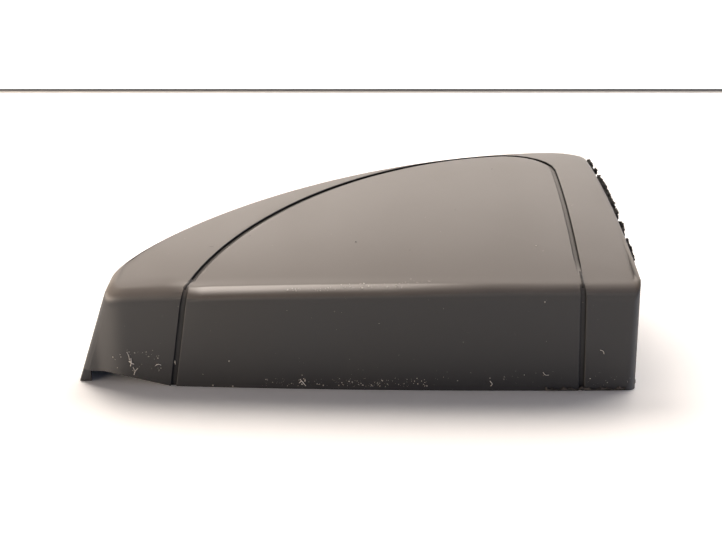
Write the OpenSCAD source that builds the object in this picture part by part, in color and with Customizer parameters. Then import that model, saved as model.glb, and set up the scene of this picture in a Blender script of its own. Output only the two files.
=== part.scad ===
// Wing mirror cover: a one-piece moulded shell lying on its open side.
// Left and right are as seen from the near long wall.

/* [Cover] */
// overall length of the shell at the rim
cover_len = 215.5; // [190:0.5:240]
// overall width of the shell at the rim
cover_wid = 125; // [115:0.5:135]
// height of the crest above the rim
crest_h = 66.6; // [60:0.1:75]
// moulded wall thickness
wall_t = 2.5; // [2:0.1:3]
// how far the crest of the top lies inside the far rim
crest_inset = 16; // [12:1:22]
// fall of the top from the crest to the near long wall
near_fall = 26.9; // [24:0.1:30]
// extra fall of the near edge at the left end
near_twist = 2; // [0:0.5:3]
// power of the curve that the top follows across the cover
fall_power = 1.88; // [1.7:0.01:2]
// radius of the bow of the top along the cover
long_bow_r = 1735; // [1400:5:2400]
// distance from the right end to the highest point of that bow
long_bow_x = 56.5; // [45:0.5:75]

/* [Outline] */
// bow of the near long wall at the left corner
near_bow = 6.5; // [2:0.5:8]
// distance from the right end to the middle of the near bow
near_bow_x = 44; // [30:1:60]
// plan radius of the near left corner
left_corner_r = 4.5; // [4:0.5:7]
// plan radius of the near right corner
right_corner_r = 3; // [2:0.25:5]
// plan radius of the far right corner
far_corner_r = 13; // [9:1:16]
// straight part of the left end wall
left_side = 6.5; // [2:0.5:12]
// power of the curve that the far wall follows
far_power = 1.28; // [1.22:0.01:1.5]

/* [Walls] */
// draft of the near long wall
near_draft = 2.5; // [1.5:0.25:4]
// draft of the right end wall
right_draft = 1.5; // [1:0.25:4]
// draft of the far wall
far_draft = 2; // [1:0.25:4]
// draft of the left end wall
left_draft = 19.2; // [14:0.2:22]
// radius between the near wall and the top
near_edge_r = 9; // [7:0.5:11]
// radius between the right end wall and the top
right_edge_r = 2; // [1.5:0.25:3]
// radius between the far wall and the top
far_edge_r = 9.5; // [7:0.5:11]
// radius between the left end wall and the top
left_edge_r = 8; // [8:0.5:14]
// smallest radius on the inner side of an edge
inner_edge_r = 0.8; // [0.6:0.1:1]

/* [Groove] */
// width of the engraved groove
groove_w = 2; // [1.6:0.1:2.4]
// depth of the engraved groove
groove_deep = 1; // [0.7:0.1:1.2]
// radius of the groove's rounded lips
groove_lip_r = 0.5; // [0.3:0.1:0.6]
// draft of the groove's sides
groove_draft = 12; // [5:1:20]
// distance from the left end to the left leg at the rim
groove_left_x = 37.5; // [34:0.5:42]
// lean of the left leg toward the middle
groove_left_lean = 7; // [3:0.5:8]
// distance from the right end to the right leg at the rim
groove_right_x = 21; // [16:0.5:24]
// lean of the right leg toward the middle
groove_right_lean = 2; // [0:0.1:4]
// distance from the far rim to the far part of the groove
groove_far_y = 18; // [16:0.5:22]
// radius of the groove at its far right corner
groove_corner_r = 19; // [15:1:22]
// flare of the right leg toward its far end
groove_flare = 2.4; // [0:0.2:4]
// power of the curve that the far part follows
groove_power = 1.4; // [1.35:0.01:1.6]

/* [Rim] */
// height of the relief in the rim beside the foot
relief_h = 5.5; // [2:0.5:7]
// length of the foot at the left end
foot_len = 5; // [4:0.5:7]
// length of the level part of the relief
relief_len = 6; // [4:1:16]
// length of the slope that ends the relief
relief_slope = 26; // [10:1:28]

/* [Arm Opening] */
// width of the opening in the right end wall
arm_w = 56; // [40:1:64]
// height of that opening above the rim
arm_h = 26; // [18:1:30]
// corner radius of that opening
arm_r = 8; // [5:1:11]
// distance from the near corner to the opening
arm_y = 30; // [24:1:36]

/* [Inside] */
// thickness of a stiffening rib
rib_t = 1.6; // [1.2:0.1:2]
// depth of a stiffening rib below the top
rib_deep = 7; // [4:0.5:9]
// spacing of the stiffening ribs
rib_pitch = 31.5; // [28:0.5:34]
// distance from the left end to the first rib
rib_first_x = 64.5; // [60:0.5:68]
// distance from a rib's near end to the near wall
rib_near_gap = 18; // [14:1:22]
// distance from a rib's far end to the far wall
rib_far_gap = 26; // [20:1:30]
// outer diameter of a screw boss
boss_d = 7; // [6.5:0.25:8]
// diameter of the screw bore
bore_d = 3; // [2.5:0.1:3.5]
// depth of the screw bore
bore_deep = 14; // [10:0.5:18]
// height of the lower face of each boss above the rim
boss_z = 22; // [18:1:26]
// length of a snap lug along the wall
lug_len = 14; // [10:1:18]
// amount by which a snap lug stands inward
lug_out = 2.2; // [1.6:0.1:2.6]
// height of a snap lug
lug_h = 5; // [4:0.5:7]
// height of the lower edge of a snap lug above the rim
lug_z = 7; // [6:0.5:10]

/* [Seal Remnants] */
// share of the end wall before the near strip of foam
strip_near_at = 0.15; // [0.1:0.01:0.17]
// length of the near strip of foam
strip_near_len = 13; // [8:0.5:14]
// share of the end wall before the middle chip of foam
chip_mid_at = 0.31; // [0.29:0.01:0.33]
// length of the middle and the far chip of foam
chip_len = 6.5; // [4:0.5:8]
// share of the end wall before the long strip of foam
strip_long_at = 0.42; // [0.4:0.01:0.46]
// length of the long strip of foam
strip_long_len = 35.5; // [28:0.5:38]
// share of the end wall before the small chip of foam
chip_small_at = 0.81; // [0.79:0.01:0.83]
// length of the small chip of foam
chip_small_len = 3; // [2:0.5:4]
// share of the end wall before the far chip of foam
chip_far_at = 0.89; // [0.86:0.01:0.92]
// reach of the foam strips down the end wall
foam_deep = 8.5; // [6:0.5:11]
// reach of the foam chips down the end wall
chip_deep = 5; // [3:0.5:7]
// unevenness of the torn foam edges
foam_rough = 0.6; // [0.2:0.1:0.8]
// thickness of the foam left on the right end wall
foam_t = 1.8; // [1:0.1:2]
// distance of that foam below the top at the end
foam_drop = 0.8; // [0.4:0.1:2]
// length of the foam left on the near wall
residue_len = 35; // [24:1:44]
// height of the foam left on the near wall
residue_h = 2.6; // [1.6:0.1:3.5]
// thickness of the foam left on the near wall
residue_t = 0.8; // [0.6:0.1:1]
// diameter of the small knob of foam at the near right corner
knob_d = 2.4; // [1.8:0.1:3]

/* [Hidden] */

// Derived positions of the outline at the rim
knob_out = 0.6;
x_left = -(cover_len + knob_out) / 2;
x_right = x_left + cover_len;
y_low = -cover_wid / 2 + residue_t;
y_far = cover_wid / 2;
near_mid_x = x_right - near_bow_x;
crest_y = y_far - crest_inset;
bow_x = x_right - long_bow_x;
drafts = [near_draft, right_draft, far_draft, left_draft];
tans = [for (a = drafts) tan(a)];

// Points round the outline and along one section of an edge
n_near = 28;
n_corner = 4;
n_end = 9;
n_far = 48;
n_arc = 7;
n_arc_in = 3;
slope_step = 0.5;

// Amount by which a cut runs past the surface that it opens
over = 1;

// Rings of the top, from the edge toward its middle
top_rings = [0.95, 0.88, 0.8, 0.71, 0.61, 0.5, 0.38, 0.25, 0.12];
top_rings_in = [0.85, 0.65, 0.42, 0.2];
top_mid = [x_left + cover_len * 0.55, y_low + cover_wid * 0.44];

function mix(a, b, u) = a + (b - a) * u;

// Near long wall at the rim, as a shallow bow
function near_y(x) = y_low + near_bow * pow((x - near_mid_x) / (near_mid_x - x_left), 2);

// Height of the top at a place, for a surface sunk by t
function top_z(p, t = 0) =
  crest_h - t
  - (near_fall + near_twist * (x_right - p[0]) / cover_len)
  * pow(abs(crest_y - p[1]) / (crest_y - y_low), fall_power)
  - pow(p[0] - bow_x, 2) / (2 * long_bow_r);

// Slope of the top toward direction d
function top_slope(p, d) =
  (top_z(p + d * slope_step) - top_z(p - d * slope_step)) / (2 * slope_step);

// Stations of the outline: [segment, share of its length]
stations = concat(
  [for (i = [0:n_near - 1]) [0, i / n_near]],
  [for (i = [0:n_corner - 1]) [1, i / n_corner]],
  [for (i = [0:n_end - 1]) [2, i / n_end]],
  [for (i = [0:n_corner - 1]) [3, i / n_corner]],
  [for (i = [0:n_far - 1]) [4, i / n_far]],
  [for (i = [0:1]) [6, i / 2]],
  [for (i = [0:n_corner - 1]) [5, i / n_corner]]);
n_round = len(stations);

// Place of a station when the near, right, far and left sides are inset by d
function plan_pt(s, d) =
  let (
    xa = x_left + d[3] + left_corner_r,
    xb = x_right - d[1] - right_corner_r,
    xc = x_right - d[1] - far_corner_r,
    ya = near_y(xa) + d[0] + left_corner_r,
    yb = near_y(xb) + d[0] + right_corner_r,
    ys = ya + left_side,
    yc = y_far - d[2] - far_corner_r,
    a = 90 * s[1],
    x = mix(xa, xb, s[1])
  )
  s[0] == 0 ? [x, near_y(x) + d[0]] :
  s[0] == 1 ? [xb, yb] + right_corner_r * [sin(a), -cos(a)] :
  s[0] == 2 ? [x_right - d[1], mix(yb, yc, s[1])] :
  s[0] == 3 ? [xc, yc] + far_corner_r * [cos(a), sin(a)] :
  s[0] == 4 ? [xc - (xc - xa + left_corner_r) * pow(sin(a), 2 / far_power),
               ys + (yc + far_corner_r - ys) * pow(cos(a), 2 / far_power)] :
  s[0] == 6 ? [xa - left_corner_r, mix(ys, ya, s[1])] :
  [xa, ya] - left_corner_r * [cos(a), sin(a)];

// Outward direction of the wall at a station
function plan_dir(s) =
  let (
    a = 90 * s[1],
    w = x_right - far_corner_r - x_left,
    h = y_far - near_y(x_left) - left_corner_r - left_side,
    g = [-pow(sin(a), 2 - 2 / far_power) / w, pow(cos(a), 2 - 2 / far_power) / h]
  )
  s[0] == 0 ? [0, -1] :
  s[0] == 1 ? [sin(a), -cos(a)] :
  s[0] == 2 ? [1, 0] :
  s[0] == 3 ? [cos(a), sin(a)] :
  s[0] == 4 ? g / norm(g) :
  s[0] == 6 ? [-1, 0] :
  [-cos(a), -sin(a)];

// Shares of the near, right, far and left sides at a station
function side_shares(s) =
  let (d = plan_dir(s))
  [pow(min(d[1], 0), 2), pow(max(d[0], 0), 2), pow(max(d[1], 0), 2), pow(min(d[0], 0), 2)];

// Insets of the four sides at height z, for a surface sunk by t
function side_insets(z, t) = [for (k = tans) z * k + t];
function edge_radii(t) =
  [for (r = [near_edge_r, right_edge_r, far_edge_r, left_edge_r]) max(r - t, inner_edge_r)];

// Section of wall and edge at a station: the rim, then the points of the edge
function edge_section(s, t, n) =
  let (
    share = side_shares(s),
    radii = edge_radii(t),
    r = radii * share,
    lean = drafts * share,
    p0 = plan_pt(s, side_insets(0, t)),
    pe = plan_pt(s, side_insets(top_z(p0, t) - r, t) + radii),
    d = (pe - p0) / norm(pe - p0),
    rise = atan(top_slope(pe, d)),
    za = top_z(pe, t) - r * (cos(rise) - sin(lean)),
    pb = plan_pt(s, side_insets(za, t) + radii * (cos(lean) - sin(rise))),
    mend = top_z(pb, t) - top_z(pe, t)
  )
  concat(
    [[p0[0], p0[1], 0]],
    [for (k = [0:n])
      let (
        h = mix(90 - lean, rise, k / n),
        p = plan_pt(s, side_insets(za, t) + radii * (cos(lean) - sin(h)))
      )
      [p[0], p[1], za + r * (cos(h) - sin(lean)) + mend * k / n]]);

// Section carried on over the top
function full_section(s, t, n, rings) =
  let (
    e = edge_section(s, t, n),
    b = [e[n + 1][0], e[n + 1][1]]
  )
  concat(e, [for (k = rings) let (p = mix(top_mid, b, k)) [p[0], p[1], top_z(p, t)]]);

// Faces between rings of n points, seen from outside or from inside
function ring_faces(n, rows, base, outside) =
  [for (j = [0:rows - 2]) for (i = [0:n - 1])
    let (
      a = base + j * n + i,
      b = base + j * n + (i + 1) % n
    )
    outside ? [a, a + n, b + n, b] : [a, b, b + n, a + n]];

function cap_faces(n, base, tip, outside) =
  [for (i = [0:n - 1])
    outside ? [base + (i + 1) % n, base + i, tip] : [base + i, base + (i + 1) % n, tip]];

// Bare shell as one closed surface
module shell() {
  outer = [for (s = stations) full_section(s, 0, n_arc, top_rings)];
  inner = [for (s = stations) full_section(s, wall_t, n_arc_in, top_rings_in)];
  rows = len(outer[0]);
  rows_in = len(inner[0]);
  tip = rows * n_round;
  base = tip + 1;
  tip_in = base + rows_in * n_round;
  points = concat(
    [for (j = [0:rows - 1]) for (i = [0:n_round - 1]) outer[i][j]],
    [[top_mid[0], top_mid[1], top_z(top_mid)]],
    [for (j = [0:rows_in - 1]) for (i = [0:n_round - 1]) inner[i][j]],
    [[top_mid[0], top_mid[1], top_z(top_mid, wall_t)]]);
  faces = concat(
    ring_faces(n_round, rows, 0, true),
    cap_faces(n_round, (rows - 1) * n_round, tip, true),
    ring_faces(n_round, rows_in, base, false),
    cap_faces(n_round, base + (rows_in - 1) * n_round, tip_in, false),
    [for (i = [0:n_round - 1])
      [i, (i + 1) % n_round, base + (i + 1) % n_round, base + i]]);
  polyhedron(points, faces, convexity = 8);
}

// Points of the groove on the near wall and its edge: [place, outward direction]
function leg_pt(x_rim, lean, u, n) =
  let (
    x = x_rim + lean,
    p0 = [x, near_y(x)],
    pe = p0 + [0, (top_z(p0) - near_edge_r) * tans[0] + near_edge_r],
    rise = atan(top_slope(pe, [0, 1])),
    za = top_z(pe) - near_edge_r * (cos(rise) - sin(near_draft)),
    h = mix(90 - near_draft, rise, u),
    z = za + near_edge_r * (cos(h) - sin(near_draft)),
    y = za * tans[0] + near_edge_r * (cos(near_draft) - sin(h))
  )
  u < 0 ?
    [[x_rim, near_y(x_rim) - tans[0], -1], [0, -cos(near_draft), sin(near_draft)]] :
    let (xz = x_rim + lean * z / (za + near_edge_r))
    [[xz, near_y(xz) + y, z], [0, -sin(h), cos(h)]];

function top_normal(p) =
  let (v = [-top_slope(p, [1, 0]), -top_slope(p, [0, 1]), 1])
  v / norm(v);

function top_pt(p) = [[p[0], p[1], top_z(p)], top_normal(p)];

// Path of the groove from the left leg over the top to the right leg
n_leg = 6;
n_curve = 32;
groove_xl = x_left + groove_left_x;
groove_xr = x_right - groove_right_x;
leg_left = [for (k = [-1:n_leg]) leg_pt(groove_xl, groove_left_lean, k / n_leg, n_leg)];
leg_right = [for (k = [n_leg:-1:-1]) leg_pt(groove_xr, -groove_right_lean, k / n_leg, n_leg)];
left_top = leg_left[n_leg + 1][0];
right_top = leg_right[0][0];
flare_x = right_top[0] + groove_flare;
curve_x = flare_x - groove_corner_r;
curve_back = 3.4;
curve_y = left_top[1] - curve_back;
curve_top = y_far - groove_far_y;
curve_start = asin(pow(curve_back / (curve_top - curve_y), groove_power / 2));
groove_path = concat(
  leg_left,
  [for (k = [1:n_curve])
    let (a = mix(curve_start, 90, k / n_curve))
    top_pt([curve_x - (curve_x - left_top[0]) * pow(cos(a), 2 / groove_power),
            curve_y + (curve_top - curve_y) * pow(sin(a), 2 / groove_power)])],
  [for (k = [1:n_leg])
    let (a = 90 * k / n_leg)
    top_pt([curve_x + groove_corner_r * sin(a),
            curve_top - groove_corner_r * (1 - cos(a))])],
  [for (k = [1:n_leg])
    let (u = k / (n_leg + 1))
    top_pt([mix(flare_x, right_top[0], u), mix(curve_top - groove_corner_r, right_top[1], u)])],
  leg_right);

// Right half of the groove's section: floor, side, rounded lip, and out past the surface
lip_mid = groove_w / 2 + groove_lip_r;
lip_out = 0.1;
groove_half = concat(
  [[groove_w / 2 - (groove_deep - groove_lip_r) * tan(groove_draft), -groove_deep]],
  [for (a = [0, 30, 60])
    [lip_mid - groove_lip_r * cos(a), groove_lip_r * (sin(a) - 1)]],
  [[lip_mid + lip_out, lip_out], [lip_mid + lip_out, over]]);

// Closed body swept along the groove
module groove_cut() {
  n = len(groove_path);
  m = 2 * len(groove_half);
  rings = [for (i = [0:n - 1])
    let (
      p = groove_path[i][0],
      q = groove_path[i][1],
      run = groove_path[min(i + 1, n - 1)][0] - groove_path[max(i - 1, 0)][0],
      b = cross(run, q) / norm(cross(run, q))
    )
    concat(
      [for (v = groove_half) p + b * v[0] + q * v[1]],
      [for (k = [len(groove_half) - 1:-1:0]) p - b * groove_half[k][0] + q * groove_half[k][1]])];
  points = [for (r = rings) for (v = r) v];
  faces = concat(
    [for (k = [0:m / 2 - 2]) [m - 1 - k, m - 2 - k, k + 1, k]],
    [for (i = [0:n - 2]) for (j = [0:m - 1])
      [m * i + j, m * i + (j + 1) % m, m * i + m + (j + 1) % m, m * i + m + j]],
    [for (k = [0:m / 2 - 2])
      let (a = m * (n - 1))
      [a + k, a + k + 1, a + m - 2 - k, a + m - 1 - k]]);
  polyhedron(points, faces, convexity = 8);
}

// Relief in the rim beside the foot, cut through the near wall and the near face of the foot
relief_reach = 22;
foot_face = 2;

module rim_relief() {
  x0 = x_left + foot_len;
  x1 = x0 + relief_len;
  x2 = x1 + relief_slope;
  translate([0, y_low + relief_reach, 0])
    rotate([90, 0, 0])
      linear_extrude(relief_reach + 2 * over)
        polygon([[x0, -over], [x0, relief_h], [x1, relief_h], [x2, 0], [x2, -over]]);
  translate([x_left - over, y_low - over, -over])
    cube([foot_len + 1.01 * over, near_y(x_left) - y_low + foot_face + over, relief_h + over]);
}

// Opening in the right end wall for the arm
arm_reach = 12;

module arm_opening() {
  y0 = y_low + arm_y;
  translate([x_right - arm_reach, 0, 0])
    rotate([90, 0, 90])
      linear_extrude(arm_reach + 2 * over) {
        translate([y0, -over])
          square([arm_w, arm_h + over - arm_r]);
        translate([y0 + arm_r, -over])
          square([arm_w - 2 * arm_r, arm_h + over]);
        for (y = [y0 + arm_r, y0 + arm_w - arm_r])
          translate([y, arm_h - arm_r])
            circle(arm_r);
      }
}

// Far wall at the rim for a given place along the cover
function far_y(x) =
  let (
    w = x_right - far_corner_r - x_left,
    y0 = near_y(x_left) + left_corner_r + left_side,
    u = max(x_right - far_corner_r - x, 0) / w
  )
  y0 + (y_far - y0) * pow(1 - pow(u, far_power), 1 / far_power);

// One stiffening rib across the inner side of the top
rib_count = 4;

module rib(x) {
  n = 8;
  ya = near_y(x) + rib_near_gap;
  yb = far_y(x) - rib_far_gap;
  ys = [for (k = [0:n]) mix(ya, yb, k / n)];
  up = [for (y = ys) [y, top_z([x, y], wall_t / 2)]];
  down = [for (k = [n - 1:-1:1]) [ys[k], top_z([x, ys[k]], wall_t + rib_deep)]];
  translate([x - rib_t / 2, 0, 0])
    rotate([90, 0, 90])
      linear_extrude(rib_t)
        polygon(concat(up, down));
}

// Screw bosses hang from the top, each with a blind bore, at shares of the length and the width
boss_shares = [[0.24, 0.27], [0.86, 0.34]];
boss_places = [for (u = boss_shares) [x_left + cover_len * u[0], y_low + cover_wid * u[1]]];

module boss(p) {
  translate([p[0], p[1], boss_z])
    cylinder(h = top_z(p, wall_t / 2) - boss_z, d = boss_d, $fn = 32);
}

module boss_bore(p) {
  translate([p[0], p[1], boss_z - over])
    cylinder(h = bore_deep + over, d = bore_d, $fn = 32);
}

// Snap lugs: shares of the near wall's length, and of the far wall's curve
near_lugs = [0.3, 0.52, 0.78];
far_lugs = [0.3, 0.62];

// One snap lug: p is the wall at the rim, a the direction it stands toward
module lug(p, a, lean) {
  back = wall_t / 2;
  translate([p[0], p[1], 0])
    rotate([0, 0, a])
      rotate([0, lean, 0])
        translate([0, -lug_len / 2, 0])
          rotate([90, 0, 180])
            mirror([1, 0, 0])
              translate([0, 0, -lug_len])
                linear_extrude(lug_len)
                  polygon([[back, lug_z], [wall_t + lug_out, lug_z + lug_h * 0.6],
                    [wall_t + lug_out, lug_z + lug_h * 0.8], [back, lug_z + lug_h]]);
}

module near_lug(x) {
  lug([x, near_y(x)], 90, near_draft);
}

module far_lug(u) {
  s = [4, u];
  d = plan_dir(s);
  lug(plan_pt(s, [0, 0, 0, 0]), atan2(-d[1], -d[0]), drafts * side_shares(s));
}

module cover() {
  color("#2b2b2c")
    difference() {
      union() {
        shell();
        for (k = [0:rib_count - 1])
          rib(x_left + rib_first_x + k * rib_pitch);
        for (p = boss_places)
          boss(p);
        for (u = near_lugs)
          near_lug(x_left + cover_len * u);
        for (u = far_lugs)
          far_lug(u);
      }
      groove_cut();
      rim_relief();
      arm_opening();
      for (p = boss_places)
        boss_bore(p);
    }
}

// Irregular edge of torn foam
function torn(i, seed) = sin(i * 143 + seed * 61) * 0.6 + sin(i * 71 + seed * 23) * 0.4;

// Moves a flat shape in (y, height) onto the right end wall
module on_end_wall(t) {
  translate([x_right, 0, 0])
    rotate([0, -right_draft, 0])
      rotate([90, 0, 90])
        linear_extrude(t)
          children();
}

// Foam left along the upper edge of the right end wall, from a share of that wall
foam_step = 1.55;
foam_shrink = 0.06;

module foam_piece(share, length, deep, seed) {
  x = x_right - crest_h * tans[1];
  y0 = mix(near_y(x_right) + right_corner_r, y_far - far_corner_r, share);
  n = ceil(length / foam_step);
  ys = [for (k = [0:n]) y0 + length * k / n];
  up = [for (k = [0:n]) [ys[k], top_z([x, ys[k]]) - foam_drop + foam_rough * torn(k, seed)]];
  down = [for (k = [n:-1:0])
    [mix(ys[k], y0 + length / 2, foam_shrink),
     top_z([x, ys[k]]) - foam_drop - deep + foam_rough * torn(k, seed + 4)]];
  color("#1d1c1b")
    on_end_wall(foam_t)
      polygon(concat(up, down));
}

module seal_strip_long() {
  foam_piece(strip_long_at, strip_long_len, foam_deep, 1);
}

module seal_strip_near() {
  foam_piece(strip_near_at, strip_near_len, foam_deep, 2);
}

module seal_chip_far() {
  foam_piece(chip_far_at, chip_len, chip_deep, 3);
}

module seal_chip_small() {
  foam_piece(chip_small_at, chip_small_len, chip_deep / 2, 5);
}

module seal_chip_mid() {
  foam_piece(chip_mid_at, chip_len, chip_deep, 6);
}

// Thin ragged foam along the lower edge of the near wall
residue_gap = 1;
residue_low = 0.6;

module seal_residue() {
  n = 22;
  x0 = x_right - residue_len;
  x1 = x_right - right_corner_r - residue_gap;
  xm = (x0 + x1) / 2;
  turn = atan((near_y(x1) - near_y(x0)) / (x1 - x0));
  half = (x1 - x0) / 2;
  up = [for (k = [n:-1:0])
    [mix(-half, half, k / n), residue_h * mix(residue_low, 1, torn(k, 2))]];
  color("#1d1c1b")
    translate([xm, near_y(xm), 0])
      rotate([90 - near_draft, 0, turn])
        linear_extrude(residue_t)
          polygon(concat([[-half, residue_t * tans[0]], [half, residue_t * tans[0]]], up));
}

// Small knob of foam at the foot of the right end wall
module seal_knob() {
  color("#1d1c1b")
    on_end_wall(knob_out)
      translate([near_y(x_right) + right_corner_r + knob_d / 2, knob_d * 0.8])
        circle(knob_d / 2);
}

cover();
seal_strip_long();
seal_strip_near();
seal_chip_far();
seal_chip_small();
seal_chip_mid();
seal_residue();
seal_knob();
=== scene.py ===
# Looks for the wing mirror cover: satin black moulded plastic, torn foam seal remnants,
# dust and lint.
import math
import random
import bpy
from mathutils import Matrix, Vector


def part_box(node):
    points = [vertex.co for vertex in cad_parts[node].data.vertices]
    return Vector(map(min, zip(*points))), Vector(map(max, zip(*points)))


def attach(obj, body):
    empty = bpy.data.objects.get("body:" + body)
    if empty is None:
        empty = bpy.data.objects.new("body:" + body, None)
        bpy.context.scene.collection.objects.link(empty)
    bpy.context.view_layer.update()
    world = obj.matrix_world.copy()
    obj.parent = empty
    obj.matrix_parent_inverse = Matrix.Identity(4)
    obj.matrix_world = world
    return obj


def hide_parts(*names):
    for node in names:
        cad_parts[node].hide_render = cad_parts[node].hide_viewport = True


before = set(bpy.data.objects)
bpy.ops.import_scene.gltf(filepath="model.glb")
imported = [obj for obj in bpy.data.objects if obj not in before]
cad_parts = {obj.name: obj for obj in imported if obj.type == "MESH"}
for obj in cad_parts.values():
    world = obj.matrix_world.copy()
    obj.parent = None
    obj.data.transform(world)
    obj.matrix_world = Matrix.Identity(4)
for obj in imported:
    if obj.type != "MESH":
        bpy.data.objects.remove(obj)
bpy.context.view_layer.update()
bpy.ops.object.select_all(action="DESELECT")
MM = 0.001


# ---------------------------------------------------------------- colour and nodes
def colour(hex_code):
    """sRGB hex to linear RGBA."""
    out = []
    for i in (0, 2, 4):
        c = int(hex_code.lstrip("#")[i:i + 2], 16) / 255
        out.append(c / 12.92 if c <= 0.04045 else ((c + 0.055) / 1.055) ** 2.4)
    return (*out, 1.0)


def material(name):
    """A node material with nothing in it but its output."""
    mat = bpy.data.materials.new(name)
    mat.use_nodes = True
    tree = mat.node_tree
    tree.nodes.clear()
    out = tree.nodes.new("ShaderNodeOutputMaterial")
    return mat, tree, out


def node(tree, kind, settings=None, inputs=None, links=None):
    """Adds one node, sets its settings and sockets, and links what feeds it."""
    n = tree.nodes.new(kind)
    for key, value in (settings or {}).items():
        setattr(n, key, value)
    for key, value in (inputs or {}).items():
        n.inputs[key].default_value = value
    for key, source in (links or {}).items():
        tree.links.new(source, n.inputs[key])
    return n


# ---------------------------------------------------------------- camera and light
CAM_AT = Vector((2.05, -405.33, 173.83)) * MM
CAM_PITCH = 20
FOCAL_PX = 1000
VIEW_W, VIEW_H = 722, 542
SENSOR_MM = 36
NEAREST_SEEN = 10 * MM
WINDOW_SPREAD = 40


def make_camera():
    data = bpy.data.cameras.new("camera")
    data.sensor_width = SENSOR_MM
    data.lens = FOCAL_PX * SENSOR_MM / VIEW_W
    data.clip_start = NEAREST_SEEN
    cam = bpy.data.objects.new("camera", data)
    cam.location = CAM_AT
    cam.rotation_euler = (math.radians(90 - CAM_PITCH), 0, 0)
    bpy.context.scene.collection.objects.link(cam)
    bpy.context.scene.camera = cam
    return cam


def area_lamp(name, at, toward, size, watts, tint):
    """A flat lamp, such as a lit doorway, with its places and size in metres."""
    data = bpy.data.lights.new(name, "AREA")
    data.shape = "RECTANGLE"
    data.size, data.size_y = size
    data.energy = watts
    data.color = colour(tint)[:3]
    lamp = bpy.data.objects.new(name, data)
    lamp.location = at
    lamp.rotation_euler = (Vector(toward) - Vector(at)).to_track_quat("-Z", "Y").to_euler()
    bpy.context.scene.collection.objects.link(lamp)


def window_light(name, turn, rise, level, tint):
    """Soft daylight from far away: turn is in degrees from behind the cover towards the right,
    rise in degrees above the table."""
    data = bpy.data.lights.new(name, "SUN")
    data.angle = math.radians(WINDOW_SPREAD)
    data.energy = level
    data.color = colour(tint)[:3]
    lamp = bpy.data.objects.new(name, data)
    turn, rise = math.radians(turn), math.radians(rise)
    flat = math.cos(rise)
    way = Vector((math.sin(turn) * flat, math.cos(turn) * flat, math.sin(rise)))
    lamp.rotation_euler = (-way).to_track_quat("-Z", "Y").to_euler()
    bpy.context.scene.collection.objects.link(lamp)


def room_light(level, tint):
    """The even, dim light of the room itself."""
    world = bpy.data.worlds.new("room")
    world.use_nodes = True
    bpy.context.scene.world = world
    sky = world.node_tree.nodes["Background"]
    sky.inputs["Color"].default_value = colour(tint)
    sky.inputs["Strength"].default_value = level


camera = make_camera()
room_light(level=0.03, tint="#dfe6ff")
# Daylight comes over the back of the table, strongest from the left, so the near wall lies in
# its own shade.
window_light("window_left", turn=-32, rise=45, level=2.2, tint="#fff5ec")
window_light("window_middle", turn=0, rise=44, level=0.95, tint="#fff5ec")
window_light("window_right", turn=40, rise=43, level=1.3, tint="#fff7f0")
window_light("window_side", turn=76, rise=32, level=0.45, tint="#fbfaff")
# Low lit doorways show in the two ends, and a dim cool room lies in front of the near wall.
area_lamp("doorway_left", at=(-1.2, -0.42, 0.09), toward=(0.0, -0.05, 0.03),
          size=(1.5, 0.17), watts=22, tint="#ffeddc")
area_lamp("doorway_right", at=(1.25, -0.38, 0.09), toward=(0.1, -0.05, 0.03),
          size=(1.2, 0.17), watts=5, tint="#dfe6ff")
area_lamp("room_in_front", at=(0.6, -1.6, 0.16), toward=(0.0, 0.0, 0.02),
          size=(1.8, 0.3), watts=1.3, tint="#b4c5ff")
window_light("ceiling_in_front", turn=178, rise=52, level=0.05, tint="#d6deff")

bpy.context.scene.view_settings.view_transform = "Standard"


# ---------------------------------------------------------------- stage
def stage_material(name, tint, gain, glow):
    """Pale surface: the camera and gloss see it brighter, up to white, and it keeps its shadows."""
    mat, tree, out = material(name)
    surface = node(tree, "ShaderNodeBsdfDiffuse", inputs={"Color": colour(tint)})
    more = node(tree, "ShaderNodeBsdfDiffuse", inputs={"Color": (gain, gain, gain, 1)})
    light = node(tree, "ShaderNodeEmission", inputs={"Color": colour(tint), "Strength": glow})
    added = node(tree, "ShaderNodeAddShader", links={0: more.outputs[0], 1: light.outputs[0]})
    both = node(tree, "ShaderNodeAddShader", links={0: surface.outputs[0], 1: added.outputs[0]})
    path = node(tree, "ShaderNodeLightPath")
    seen = node(tree, "ShaderNodeMath", {"operation": "MAXIMUM"},
                links={0: path.outputs["Is Camera Ray"], 1: path.outputs["Is Glossy Ray"]})
    pick = node(tree, "ShaderNodeMixShader",
                links={"Fac": seen.outputs[0], 1: surface.outputs[0], 2: both.outputs[0]})
    tree.links.new(pick.outputs[0], out.inputs["Surface"])
    return mat


def stage_plane(name, size, at, turn, mat):
    bpy.ops.mesh.primitive_plane_add(size=1)
    plane = bpy.context.active_object
    plane.name = name
    plane.scale = (*size, 1)
    plane.rotation_euler = turn
    plane.location = at
    bpy.ops.object.transform_apply(location=True, rotation=True, scale=True)
    plane.data.materials.append(mat)
    bpy.ops.object.select_all(action="DESELECT")
    return plane


# In metres. The back edge of the table is the thin grey line behind the cover.
STAGE_WIDE, TABLE_DEEP, TABLE_BACK = 6, 3, 0.593
WALL_HIGH, WALL_GAP = 0.3, 0.02
EDGE_HIGH = 3.5 * MM
LEVEL, UPRIGHT = (0, 0, 0), (math.radians(90), 0, 0)

stage_plane("table", (STAGE_WIDE, TABLE_DEEP), (0, TABLE_BACK - TABLE_DEEP / 2, 0), LEVEL,
            stage_material("table_matt_white", "#fbfaf8", gain=0.25, glow=0))
wall = stage_plane("wall", (STAGE_WIDE, WALL_HIGH), (0, TABLE_BACK + WALL_GAP, WALL_HIGH / 2),
                   UPRIGHT, stage_material("wall_emulsion_pale", "#fbf9f5", gain=0, glow=0.95))
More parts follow.
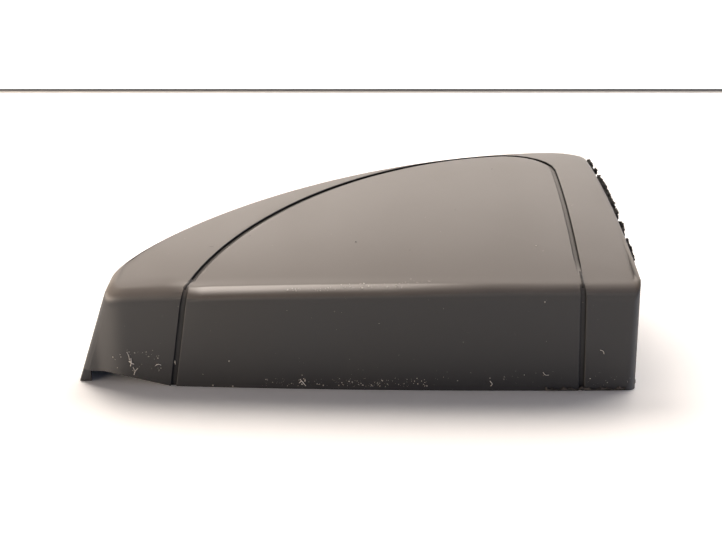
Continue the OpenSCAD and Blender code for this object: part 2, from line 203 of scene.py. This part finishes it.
# The daylight that comes from behind passes through the wall.
wall.visible_shadow = False
stage_plane("table_edge", (STAGE_WIDE, EDGE_HIGH), (0, TABLE_BACK, 0), UPRIGHT,
            stage_material("table_edge_grey", "#a3a09b", gain=0, glow=0.36))


# ---------------------------------------------------------------- masks and mottling
# A step is (measure, where it is 0, where it is 1, how it rises between them), and a mask is a
# list of steps that all have to hold. "x" and "y" are places on the part, in metres. "up" and
# "back" are the share of the surface normal that points up or away from the camera's side, and
# "open" is 1 where nothing of the part closes the surface in.
SMOOTH, EVEN = "SMOOTHSTEP", "LINEAR"


def mask(tree, measures, steps):
    """How far a point lies within all the steps, from 0 to 1."""
    share = None
    for measure, nought, full, rise in steps:
        step = node(tree, "ShaderNodeMapRange", {"interpolation_type": rise},
                    {"From Min": nought, "From Max": full},
                    {"Value": measures[measure]}).outputs["Result"]
        if share is not None:
            step = node(tree, "ShaderNodeMath", {"operation": "MULTIPLY"},
                        links={0: share, 1: step}).outputs["Value"]
        share = step
    return share


def mottled(tree, place, per_mm, noise, spread, low, high):
    """Two tones that pass into each other in soft patches, and the noise that parts them."""
    patches = node(tree, "ShaderNodeTexNoise", inputs={"Scale": per_mm / MM, **noise},
                   links={"Vector": place}).outputs["Fac"]
    share = mask(tree, {"patches": patches}, [("patches", *spread, EVEN)])
    tone = node(tree, "ShaderNodeMix", {"data_type": "RGBA"},
                {"A": colour(low), "B": colour(high)}, {"Factor": share})
    return tone.outputs["Result"], patches


def covered(tree, under, share, tint):
    """A tint laid over what is under it."""
    return node(tree, "ShaderNodeMix", {"data_type": "RGBA"}, {"B": colour(tint)},
                {"Factor": share, "A": under}).outputs["Result"]


# ---------------------------------------------------------------- the cover's plastic
ABS_TONES, ABS_IOR = ("#1e1e1f", "#232221"), 1.52
# Slow changes of tone and gloss, about 36 mm across.
PATCHES_PER_MM, PATCH_SPREAD = 0.028, (0.3, 0.75)
GLOSS_SPREAD, GLOSS_ROUGHNESS = (0.3, 0.7), (0.48, 0.54)
# The spark-eroded grain is about 0.05 mm wide, too fine to show, so it is drawn 0.4 mm wide.
GRAIN_PER_MM, GRAIN_DEEP, GRAIN_STRENGTH = 2.6, 0.04 * MM, 0.25
# A pale film on what faces up: settled dust, and painted light that makes the top lighter.
DUST_AND_TOP_LIGHT_SHARE, DUST_AND_TOP_LIGHT_TINT, DUST_AND_TOP_LIGHT_LIES = 0.58, "#9a928a", [("up", 0.3, 0.95, SMOOTH)]
# Painted shade: darker where the surface folds in on itself, in the engraved line.
HOLLOW_SHADE_TINT, HOLLOW_SHADE_REACH, HOLLOW_SHADE_LIES = "#0d0c0b", 2.2 * MM, [("open", 0.86, 0.50, EVEN)]
HOLLOW_SHADE_ROUGHNESS, OPEN_SAMPLES = 1.0, 12

NEAR_SIDE = ("back", -0.25, -0.40, EVEN)
# A band along the near edge of the top, where hands have polished the grain away; its paler tint is
# a painted highlight.
RUBBED_HIGHLIGHT_BAND = [NEAR_SIDE, ("up", 0.25, 0.62, SMOOTH), ("up", 0.915, 0.86, SMOOTH),
               ("x", -66 * MM, -58 * MM, EVEN), ("x", 50 * MM, 12 * MM, EVEN)]
# The band's paler tint is a painted highlight; its lower roughness is the polish.
PAINTED_HIGHLIGHT_SHARE, PAINTED_HIGHLIGHT_TINT, RUBBED_ROUGHNESS = 0.30, "#a0978d", 0.36
# The lower half of the near fillet, which runs out early into the wall.
FILLET_FOOT = [NEAR_SIDE, ("up", 0.05, 0.25, EVEN), ("up", 0.75, 0.45, EVEN)]
# The near wall's left corner, which is rolled wide, and its right one, which is crisp.
LEFT_CORNER = [NEAR_SIDE, ("x", -86 * MM, -97 * MM, SMOOTH),
               ("x", -101.5 * MM, -96.5 * MM, SMOOTH)]
RIGHT_CORNER = [("x", 103 * MM, 106.2 * MM, EVEN)]
# The top's edge left of the engraved line.
LEFT_EDGE = [("y", -45 * MM, -57 * MM, SMOOTH), ("x", -64 * MM, -72 * MM, EVEN)]
# What each place adds to the shading normal: the real moulding is rounder there than the solid.
BENDS = [(RUBBED_HIGHLIGHT_BAND, (0, 0.28, 0.46)), (FILLET_FOOT, (0, 0, -0.35)),
         (LEFT_CORNER, (-0.52, 0, 0.05)), (RIGHT_CORNER, (0.35, 0, 0.1)),
         (LEFT_EDGE, (0, -0.42, 0))]


def bent_normal(tree, normal, measures):
    """The surface normal, turned a little where the real moulding is rounder."""
    for steps, way in BENDS:
        bend = node(tree, "ShaderNodeVectorMath", {"operation": "SCALE"}, {0: way},
                    {"Scale": mask(tree, measures, steps)})
        normal = node(tree, "ShaderNodeVectorMath", {"operation": "ADD"},
                      links={0: normal, 1: bend.outputs[0]}).outputs[0]
    return node(tree, "ShaderNodeVectorMath", {"operation": "NORMALIZE"},
                links={0: normal}).outputs[0]


def moulded_plastic():
    """Black ABS, injection moulded with a fine spark-eroded grain: a satin gloss that turns pale
    at a grazing view, with a pale film on top that is settled dust and painted top light, painted
    shade in the engraved line and hollows, and a rubbed edge tinted paler as a painted highlight."""
    mat, tree, out = material("abs_moulded_satin_black")
    place = node(tree, "ShaderNodeTexCoord").outputs["Object"]
    normal = node(tree, "ShaderNodeNewGeometry").outputs["Normal"]
    at = node(tree, "ShaderNodeSeparateXYZ", links={"Vector": place}).outputs
    facing = node(tree, "ShaderNodeSeparateXYZ", links={"Vector": normal}).outputs
    hidden = node(tree, "ShaderNodeAmbientOcclusion",
                  {"samples": OPEN_SAMPLES, "only_local": True}, {"Distance": HOLLOW_SHADE_REACH})
    measures = {"x": at["X"], "y": at["Y"], "up": facing["Z"], "back": facing["Y"],
                "open": hidden.outputs["AO"]}

    # Pale film on what faces up: settled dust and painted top light.
    dust_and_top_light = node(tree, "ShaderNodeMath", {"operation": "MULTIPLY"}, {1: DUST_AND_TOP_LIGHT_SHARE},
                {0: mask(tree, measures, DUST_AND_TOP_LIGHT_LIES)}).outputs[0]
    rubbed_highlight_band = mask(tree, measures, RUBBED_HIGHLIGHT_BAND)
    # The band's paler tint: painted highlight.
    painted_highlight = node(tree, "ShaderNodeMath", {"operation": "MULTIPLY"}, {1: PAINTED_HIGHLIGHT_SHARE},
                 {0: rubbed_highlight_band}).outputs[0]
    # Painted shade in the engraved line and other hollows.
    hollow_shade = mask(tree, measures, HOLLOW_SHADE_LIES)

    tone, patches = mottled(tree, place, PATCHES_PER_MM, {"Detail": 4, "Roughness": 0.6},
                            PATCH_SPREAD, *ABS_TONES)
    for share, tint in ((dust_and_top_light, DUST_AND_TOP_LIGHT_TINT), (painted_highlight, PAINTED_HIGHLIGHT_TINT), (hollow_shade, HOLLOW_SHADE_TINT)):
        tone = covered(tree, tone, share, tint)

    rough = node(tree, "ShaderNodeMapRange",
                 inputs={"From Min": GLOSS_SPREAD[0], "From Max": GLOSS_SPREAD[1],
                         "To Min": GLOSS_ROUGHNESS[0], "To Max": GLOSS_ROUGHNESS[1]},
                 links={"Value": patches}).outputs["Result"]
    for share, roughness in ((rubbed_highlight_band, RUBBED_ROUGHNESS), (hollow_shade, HOLLOW_SHADE_ROUGHNESS)):
        rough = node(tree, "ShaderNodeMix", inputs={"B": roughness},
                     links={"Factor": share, "A": rough}).outputs["Result"]

    grain = node(tree, "ShaderNodeTexNoise",
                 inputs={"Scale": GRAIN_PER_MM / MM, "Detail": 2, "Roughness": 0.6},
                 links={"Vector": place})
    bump = node(tree, "ShaderNodeBump",
                inputs={"Strength": GRAIN_STRENGTH, "Distance": GRAIN_DEEP},
                links={"Height": grain.outputs["Fac"],
                       "Normal": bent_normal(tree, normal, measures)})
    shade = node(tree, "ShaderNodeBsdfPrincipled", inputs={"IOR": ABS_IOR},
                 links={"Base Color": tone, "Roughness": rough,
                        "Normal": bump.outputs["Normal"]})
    tree.links.new(shade.outputs[0], out.inputs["Surface"])
    return mat


# ---------------------------------------------------------------- foam, loose dirt and painted line shade
FOAM_TONES, FOAM_ROUGHNESS = ("#2c2a28", "#55504b"), 0.92
# Patches of tone about 2.4 mm across; cells about 0.45 mm wide and 0.2 mm deep.
FOAM_PATCHES_PER_MM, FOAM_SPREAD = 0.42, (0.4, 0.7)
CELLS_PER_MM, CELL_DEEP, CELL_STRENGTH = 2.2, 0.2 * MM, 0.9
# Each grain is about a millimetre wide at most, so its tone changes over 1.1 mm.
DIRT_PATCHES_PER_MM, DIRT_SPREAD = 0.9, (0.35, 0.65)
FLUFF_ROUGHNESS, FLUFF_SHEEN = 0.95, 0.4


def torn_foam():
    """Closed-cell EPDM foam torn by hand: matt and dark grey, with open cells on the torn side."""
    mat, tree, out = material("epdm_foam_torn_black")
    place = node(tree, "ShaderNodeTexCoord").outputs["Object"]
    tone, _ = mottled(tree, place, FOAM_PATCHES_PER_MM, {"Detail": 3}, FOAM_SPREAD, *FOAM_TONES)
    cells = node(tree, "ShaderNodeTexVoronoi", inputs={"Scale": CELLS_PER_MM / MM},
                 links={"Vector": place})
    bump = node(tree, "ShaderNodeBump",
                inputs={"Strength": CELL_STRENGTH, "Distance": CELL_DEEP},
                links={"Height": cells.outputs["Distance"]})
    shade = node(tree, "ShaderNodeBsdfPrincipled", inputs={"Roughness": FOAM_ROUGHNESS},
                 links={"Base Color": tone, "Normal": bump.outputs["Normal"]})
    tree.links.new(shade.outputs[0], out.inputs["Surface"])
    return mat


def loose_dirt_and_line_shade(name, tint_low, tint_high):
    """Household dust, cotton lint and dark grit that settled on the moulding, and the dark threads
    of painted shade along the engraved line: matt and fluffy, each grain its own tone."""
    mat, tree, out = material(name)
    place = node(tree, "ShaderNodeTexCoord").outputs["Object"]
    tone, _ = mottled(tree, place, DIRT_PATCHES_PER_MM, {"Detail": 2}, DIRT_SPREAD,
                      tint_low, tint_high)
    shade = node(tree, "ShaderNodeBsdfPrincipled",
                 inputs={"Roughness": FLUFF_ROUGHNESS, "Sheen Weight": FLUFF_SHEEN},
                 links={"Base Color": tone})
    tree.links.new(shade.outputs[0], out.inputs["Surface"])
    return mat


plastic = moulded_plastic()
foam = torn_foam()
dust = loose_dirt_and_line_shade("settled_dust_pale", "#8f877d", "#cfc8bd")
lint = loose_dirt_and_line_shade("cotton_lint_pale", "#b5aea4", "#e6e1d8")
# Dark grit, also used for the painted shade along the engraved line.
grit_and_line_shade = loose_dirt_and_line_shade("dark_grit_and_line_shade", "#1c1a19", "#3a3531")


# ---------------------------------------------------------------- the cover
TOUCHING = 0.01 * MM
SMOOTH_BELOW = math.radians(35)
FACE_WEIGHT = 80


def merged_copy(node_name, name):
    """A copy of a CAD node's mesh with its loose triangles joined."""
    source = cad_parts[node_name]
    piece = source.copy()
    piece.data = source.data.copy()
    piece.parent = None
    piece.name = name
    bpy.context.scene.collection.objects.link(piece)
    bpy.ops.object.select_all(action="DESELECT")
    piece.select_set(True)
    bpy.context.view_layer.objects.active = piece
    bpy.ops.object.mode_set(mode="EDIT")
    bpy.ops.mesh.select_all(action="SELECT")
    bpy.ops.mesh.remove_doubles(threshold=TOUCHING)
    bpy.ops.object.mode_set(mode="OBJECT")
    return piece


def set_material(piece, mat):
    piece.data.materials.clear()
    piece.data.materials.append(mat)


def apply_modifier(piece, kind, **settings):
    modifier = piece.modifiers.new(kind.lower(), kind)
    for key, value in settings.items():
        setattr(modifier, key, value)
    bpy.context.view_layer.objects.active = piece
    bpy.ops.object.modifier_apply(modifier=modifier.name)


def cover_shell():
    """The moulding, with its large faces kept flat in the shading between the fillets."""
    shell = merged_copy("cover", "cover_shell")
    if shell.data.has_custom_normals:
        bpy.ops.mesh.customdata_custom_splitnormals_clear()
    bpy.ops.object.shade_smooth_by_angle(angle=SMOOTH_BELOW)
    apply_modifier(shell, "WEIGHTED_NORMAL", keep_sharp=True, weight=FACE_WEIGHT)
    set_material(shell, plastic)
    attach(shell, "root")
    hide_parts("cover")
    return shell


cover = cover_shell()


# ---------------------------------------------------------------- torn foam
FOAM_VOXEL = 0.28 * MM
# The foam tears fully only this far from the face that it is glued by.
GLUE_HOLDS = 0.6 * MM
KNOB_HELD = 0.3 * MM
END_WALL_DRAFT = math.radians(1.5)
# Lumps and pores, each by size and depth.
END_WALL_TEARS = ((2.4 * MM, 1.6 * MM), (0.6 * MM, 0.8 * MM))
RESIDUE_TEARS = ((1.4 * MM, 1.5 * MM), (0.5 * MM, 0.5 * MM))
KNOB_TEARS = ((1.2 * MM, 0.3 * MM), (0.6 * MM, 0.2 * MM))


def clouds(name, size):
    texture = bpy.data.textures.new(name, "CLOUDS")
    texture.noise_scale = size
    texture.noise_depth = 2
    return texture


def foam_remnant(node_name, from_glue, tears):
    """A remnant of the seal: its free side is torn back in lumps and pores, its glued side stays
    flat. from_glue gives a point's distance from the glued side."""
    piece = merged_copy(node_name, node_name + "_torn")
    apply_modifier(piece, "REMESH", mode="VOXEL", voxel_size=FOAM_VOXEL)
    free = piece.vertex_groups.new(name="free")
    for v in piece.data.vertices:
        free.add([v.index], min(max(from_glue(v.co) / GLUE_HOLDS, 0), 1), "REPLACE")
    for label, (size, depth) in zip(("broad", "fine"), tears):
        apply_modifier(piece, "DISPLACE", texture=clouds(f"{node_name}_{label}", size),
                       texture_coords="LOCAL", strength=-depth, mid_level=0,
                       vertex_group="free")
    piece.vertex_groups.clear()
    bpy.ops.object.shade_smooth()
    set_material(piece, foam)
    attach(piece, "root")
    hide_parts(node_name)


def off_end_wall(name):
    """A point's distance from the end wall's face, which leans with the moulding's draft."""
    low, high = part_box(name)
    lean = math.tan(END_WALL_DRAFT)
    foot = low[0] + high[2] * lean
    return lambda p: p.x - (foot - p.z * lean)


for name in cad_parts:
    if name.startswith("seal_") and name not in ("seal_residue", "seal_knob"):
        foam_remnant(name, off_end_wall(name), END_WALL_TEARS)
# The residue is glued to the near wall by its far side, and the knob is torn alike all round.
_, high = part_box("seal_residue")
near_face = high[1]
foam_remnant("seal_residue", lambda p: near_face - p.y, RESIDUE_TEARS)
foam_remnant("seal_knob", lambda p: KNOB_HELD, KNOB_TEARS)


# ---------------------------------------------------------------- dust, lint and painted line shade
# A flake's length, width and thickness, as shares of a round grain's.
FLAKE_LONG, FLAKE_WIDE, FLAKE_THICK, FLAKE_SEED = (0.7, 1.3), (0.6, 1.1), 0.45, 3
# The share of its size by which a flake's middle stands off the cover.
FLAKE_STANDS = 0.12
FULL_TURN = 6.28
# The power that makes finer grains more frequent in a band.
FINER_ONES = 3


def under_pixel(u, v):
    """The place on the cover under a pixel of the photograph, and the surface's normal there."""
    ray = Vector((u - VIEW_W / 2, VIEW_H / 2 - v, -FOCAL_PX)).normalized()
    hit, at, normal, _ = cover.ray_cast(camera.location,
                                        camera.rotation_euler.to_matrix() @ ray)
    return (at, normal) if hit else None


def one_grain():
    """A flake of dust, modelled once: a squashed, uneven lump, about 1 m wide until it is scaled
    to its place."""
    bpy.ops.object.select_all(action="DESELECT")
    bpy.ops.mesh.primitive_ico_sphere_add(subdivisions=1, radius=0.5)
    grain = bpy.context.active_object
    shaken = random.Random(FLAKE_SEED)
    for v in grain.data.vertices:
        v.co = Vector((v.co.x * shaken.uniform(*FLAKE_LONG),
                       v.co.y * shaken.uniform(*FLAKE_WIDE), v.co.z * FLAKE_THICK))
    return grain


def joined(name, pieces, mat):
    bpy.ops.object.select_all(action="DESELECT")
    for piece in pieces:
        piece.select_set(True)
    bpy.context.view_layer.objects.active = pieces[0]
    bpy.ops.object.join()
    whole = bpy.context.active_object
    whole.name = name
    set_material(whole, mat)
    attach(whole, "root")
    bpy.ops.object.select_all(action="DESELECT")


def scatter(name, places, mat):
    """Copies of the grain on the cover: places are (u, v, size in mm)."""
    grain = one_grain()
    turned = random.Random(name)
    copies = []
    for u, v, size in places:
        found = under_pixel(u, v)
        if not found:
            continue
        at, normal = found
        copy = grain.copy()
        copy.data = grain.data.copy()
        bpy.context.scene.collection.objects.link(copy)
        place = Matrix.Translation(at + normal * size * FLAKE_STANDS * MM)
        lie = normal.to_track_quat("Z", "Y").to_matrix().to_4x4()
        spin = Matrix.Rotation(turned.uniform(0, FULL_TURN), 4, "Z")
        copy.data.transform(place @ lie @ spin @ Matrix.Scale(size * MM, 4))
        copies.append(copy)
    bpy.data.objects.remove(grain)
    joined(name, copies, mat)


def fibre(points, thick):
    """One thread through points (u, v, height above the cover in mm): lint, and the dark threads
    of painted shade along the engraved line.
    """
    curve = bpy.data.curves.new("fibre", "CURVE")
    curve.dimensions = "3D"
    curve.bevel_depth = thick * MM / 2
    curve.bevel_resolution = 1
    curve.resolution_u = 4
    line = curve.splines.new("BEZIER")
    line.bezier_points.add(len(points) - 1)
    for knot, (u, v, height) in zip(line.bezier_points, points):
        at, normal = under_pixel(u, v)
        knot.co = at + normal * (height + thick / 2) * MM
        knot.handle_left_type = knot.handle_right_type = "AUTO"
    thread = bpy.data.objects.new("fibre", curve)
    bpy.context.scene.collection.objects.link(thread)
    return thread


def threads_as_one(name, threads, mat):
    """Threads as one piece: each is (thickness in mm, its points)."""
    made = [fibre(points, thick) for thick, points in threads]
    bpy.ops.object.select_all(action="DESELECT")
    for thread in made:
        thread.select_set(True)
    bpy.context.view_layer.objects.active = made[0]
    bpy.ops.object.convert(target="MESH")
    joined(name, made, mat)


def strewn(seed, count, u_range, v_range, sizes):
    """A loose band of grains between two pixels each way, finer ones more often."""
    dice = random.Random(seed)
    finest, coarsest = sizes
    return [(dice.uniform(*u_range), dice.uniform(*v_range),
             finest + (coarsest - finest) * dice.random() ** FINER_ONES)
            for _ in range(count)]


# Grains that the photograph shows one by one, by pixel and size in mm.
GRAINS = [(113, 357, .6), (121, 357, .5), (129, 352, .4), (131, 362, 1.0), (158, 358, .5),
          (157, 365, .35), (161, 368, .4), (159, 370, .35), (175, 362, .7), (213, 385, .6),
          (229, 361, .6), (233, 386, .6), (170, 386, .7), (302, 375, .5), (305, 381, .6),
          (302, 384, .7), (380, 386, .6), (427, 386, .5), (536, 246, .7), (543, 251, .35),
          (545, 302, .45), (490, 378, .45)]
DARK = [(356, 242, .7), (492, 169, .5), (410, 250, .3), (250, 236, .35), (455, 210, .3)]
# The bands in which they lie thickly: seed, count, pixels across and down, sizes in mm.
NEAR_TOP = (strewn(1, 26, (285, 345), (287, 291), (.18, .6))
            + strewn(2, 46, (340, 402), (283.5, 288), (.18, .65))
            + strewn(3, 16, (400, 436), (279, 284), (.16, .5)))
LOW_WALL = (strewn(4, 60, (262, 350), (378, 386), (.16, .6))
            + strewn(5, 90, (350, 428), (378, 386.5), (.16, .55))
            + strewn(6, 26, (112, 170), (350, 372), (.16, .45))
            + strewn(7, 24, (428, 560), (370, 387), (.14, .4))
            + strewn(8, 14, (585, 630), (376, 386), (.16, .4)))
FINE_ALL = strewn(9, 140, (120, 600), (200, 384), (.10, .24))
# Lint, by thickness and then by pixel and height above the cover in mm.
THREADS = [(.22, [(127, 352, 0), (129, 356, .2), (129.5, 360, 0)]),
           (.3, [(129, 361, 0), (131.5, 362.5, .3), (134, 364, 0)]),
           (.26, [(131, 358, 0), (131.5, 362, .25), (130.5, 366, 0)]),
           (.2, [(134, 375, 0), (135.5, 371, .2), (138, 368, 0)]),
           (.2, [(133, 367, 0), (135.5, 371, .2)]),
           (.2, [(175, 360, .3), (175.5, 364, .3)]),
           (.16, [(155, 366, 0), (158, 364, .2), (161, 365, 0)]),
           (.2, [(490, 381, 0), (492, 384, .2), (490.5, 386, 0)]),
           (.18, [(543, 372, 0), (545, 374.5, .2), (549, 375, 0)]),
           (.18, [(600, 350, 0), (603, 351, .2), (604, 354, 0)]),
           (.2, [(299, 383, 0), (302, 381, .3), (304, 384, 0)]),
           (.2, [(300, 379, 0), (303, 382, .3), (306, 386, 0)])]
# Dark threads, sunk in the skin, that carry the engraved line's left and right leg over the
# near fillet: painted shade of the line.
LINE_OVER_FILLET = [(2.0, [(191.3, 280.6, -1.7), (189.4, 282.2, -1.6), (187.6, 283.9, -1.6),
                           (186, 285.6, -1.6), (184.9, 287.6, -1.6), (184.2, 290, -1.7)]),
                    (1.4, [(580.2, 271.5, -1.2), (581.1, 275.5, -1.15), (581.9, 279, -1.15),
                           (582.5, 282, -1.15), (582.9, 285, -1.15), (583, 288, -1.2)])]

scatter("dust_grains", GRAINS + LOW_WALL, dust)
scatter("dust_near_top", NEAR_TOP, lint)
scatter("dust_fine", FINE_ALL, dust)
scatter("grit_dark", DARK, grit_and_line_shade)
threads_as_one("threads_as_one", THREADS, lint)
# Painted shade of the engraved line over the near fillet.
threads_as_one("painted_line_shade", LINE_OVER_FILLET, grit_and_line_shade)
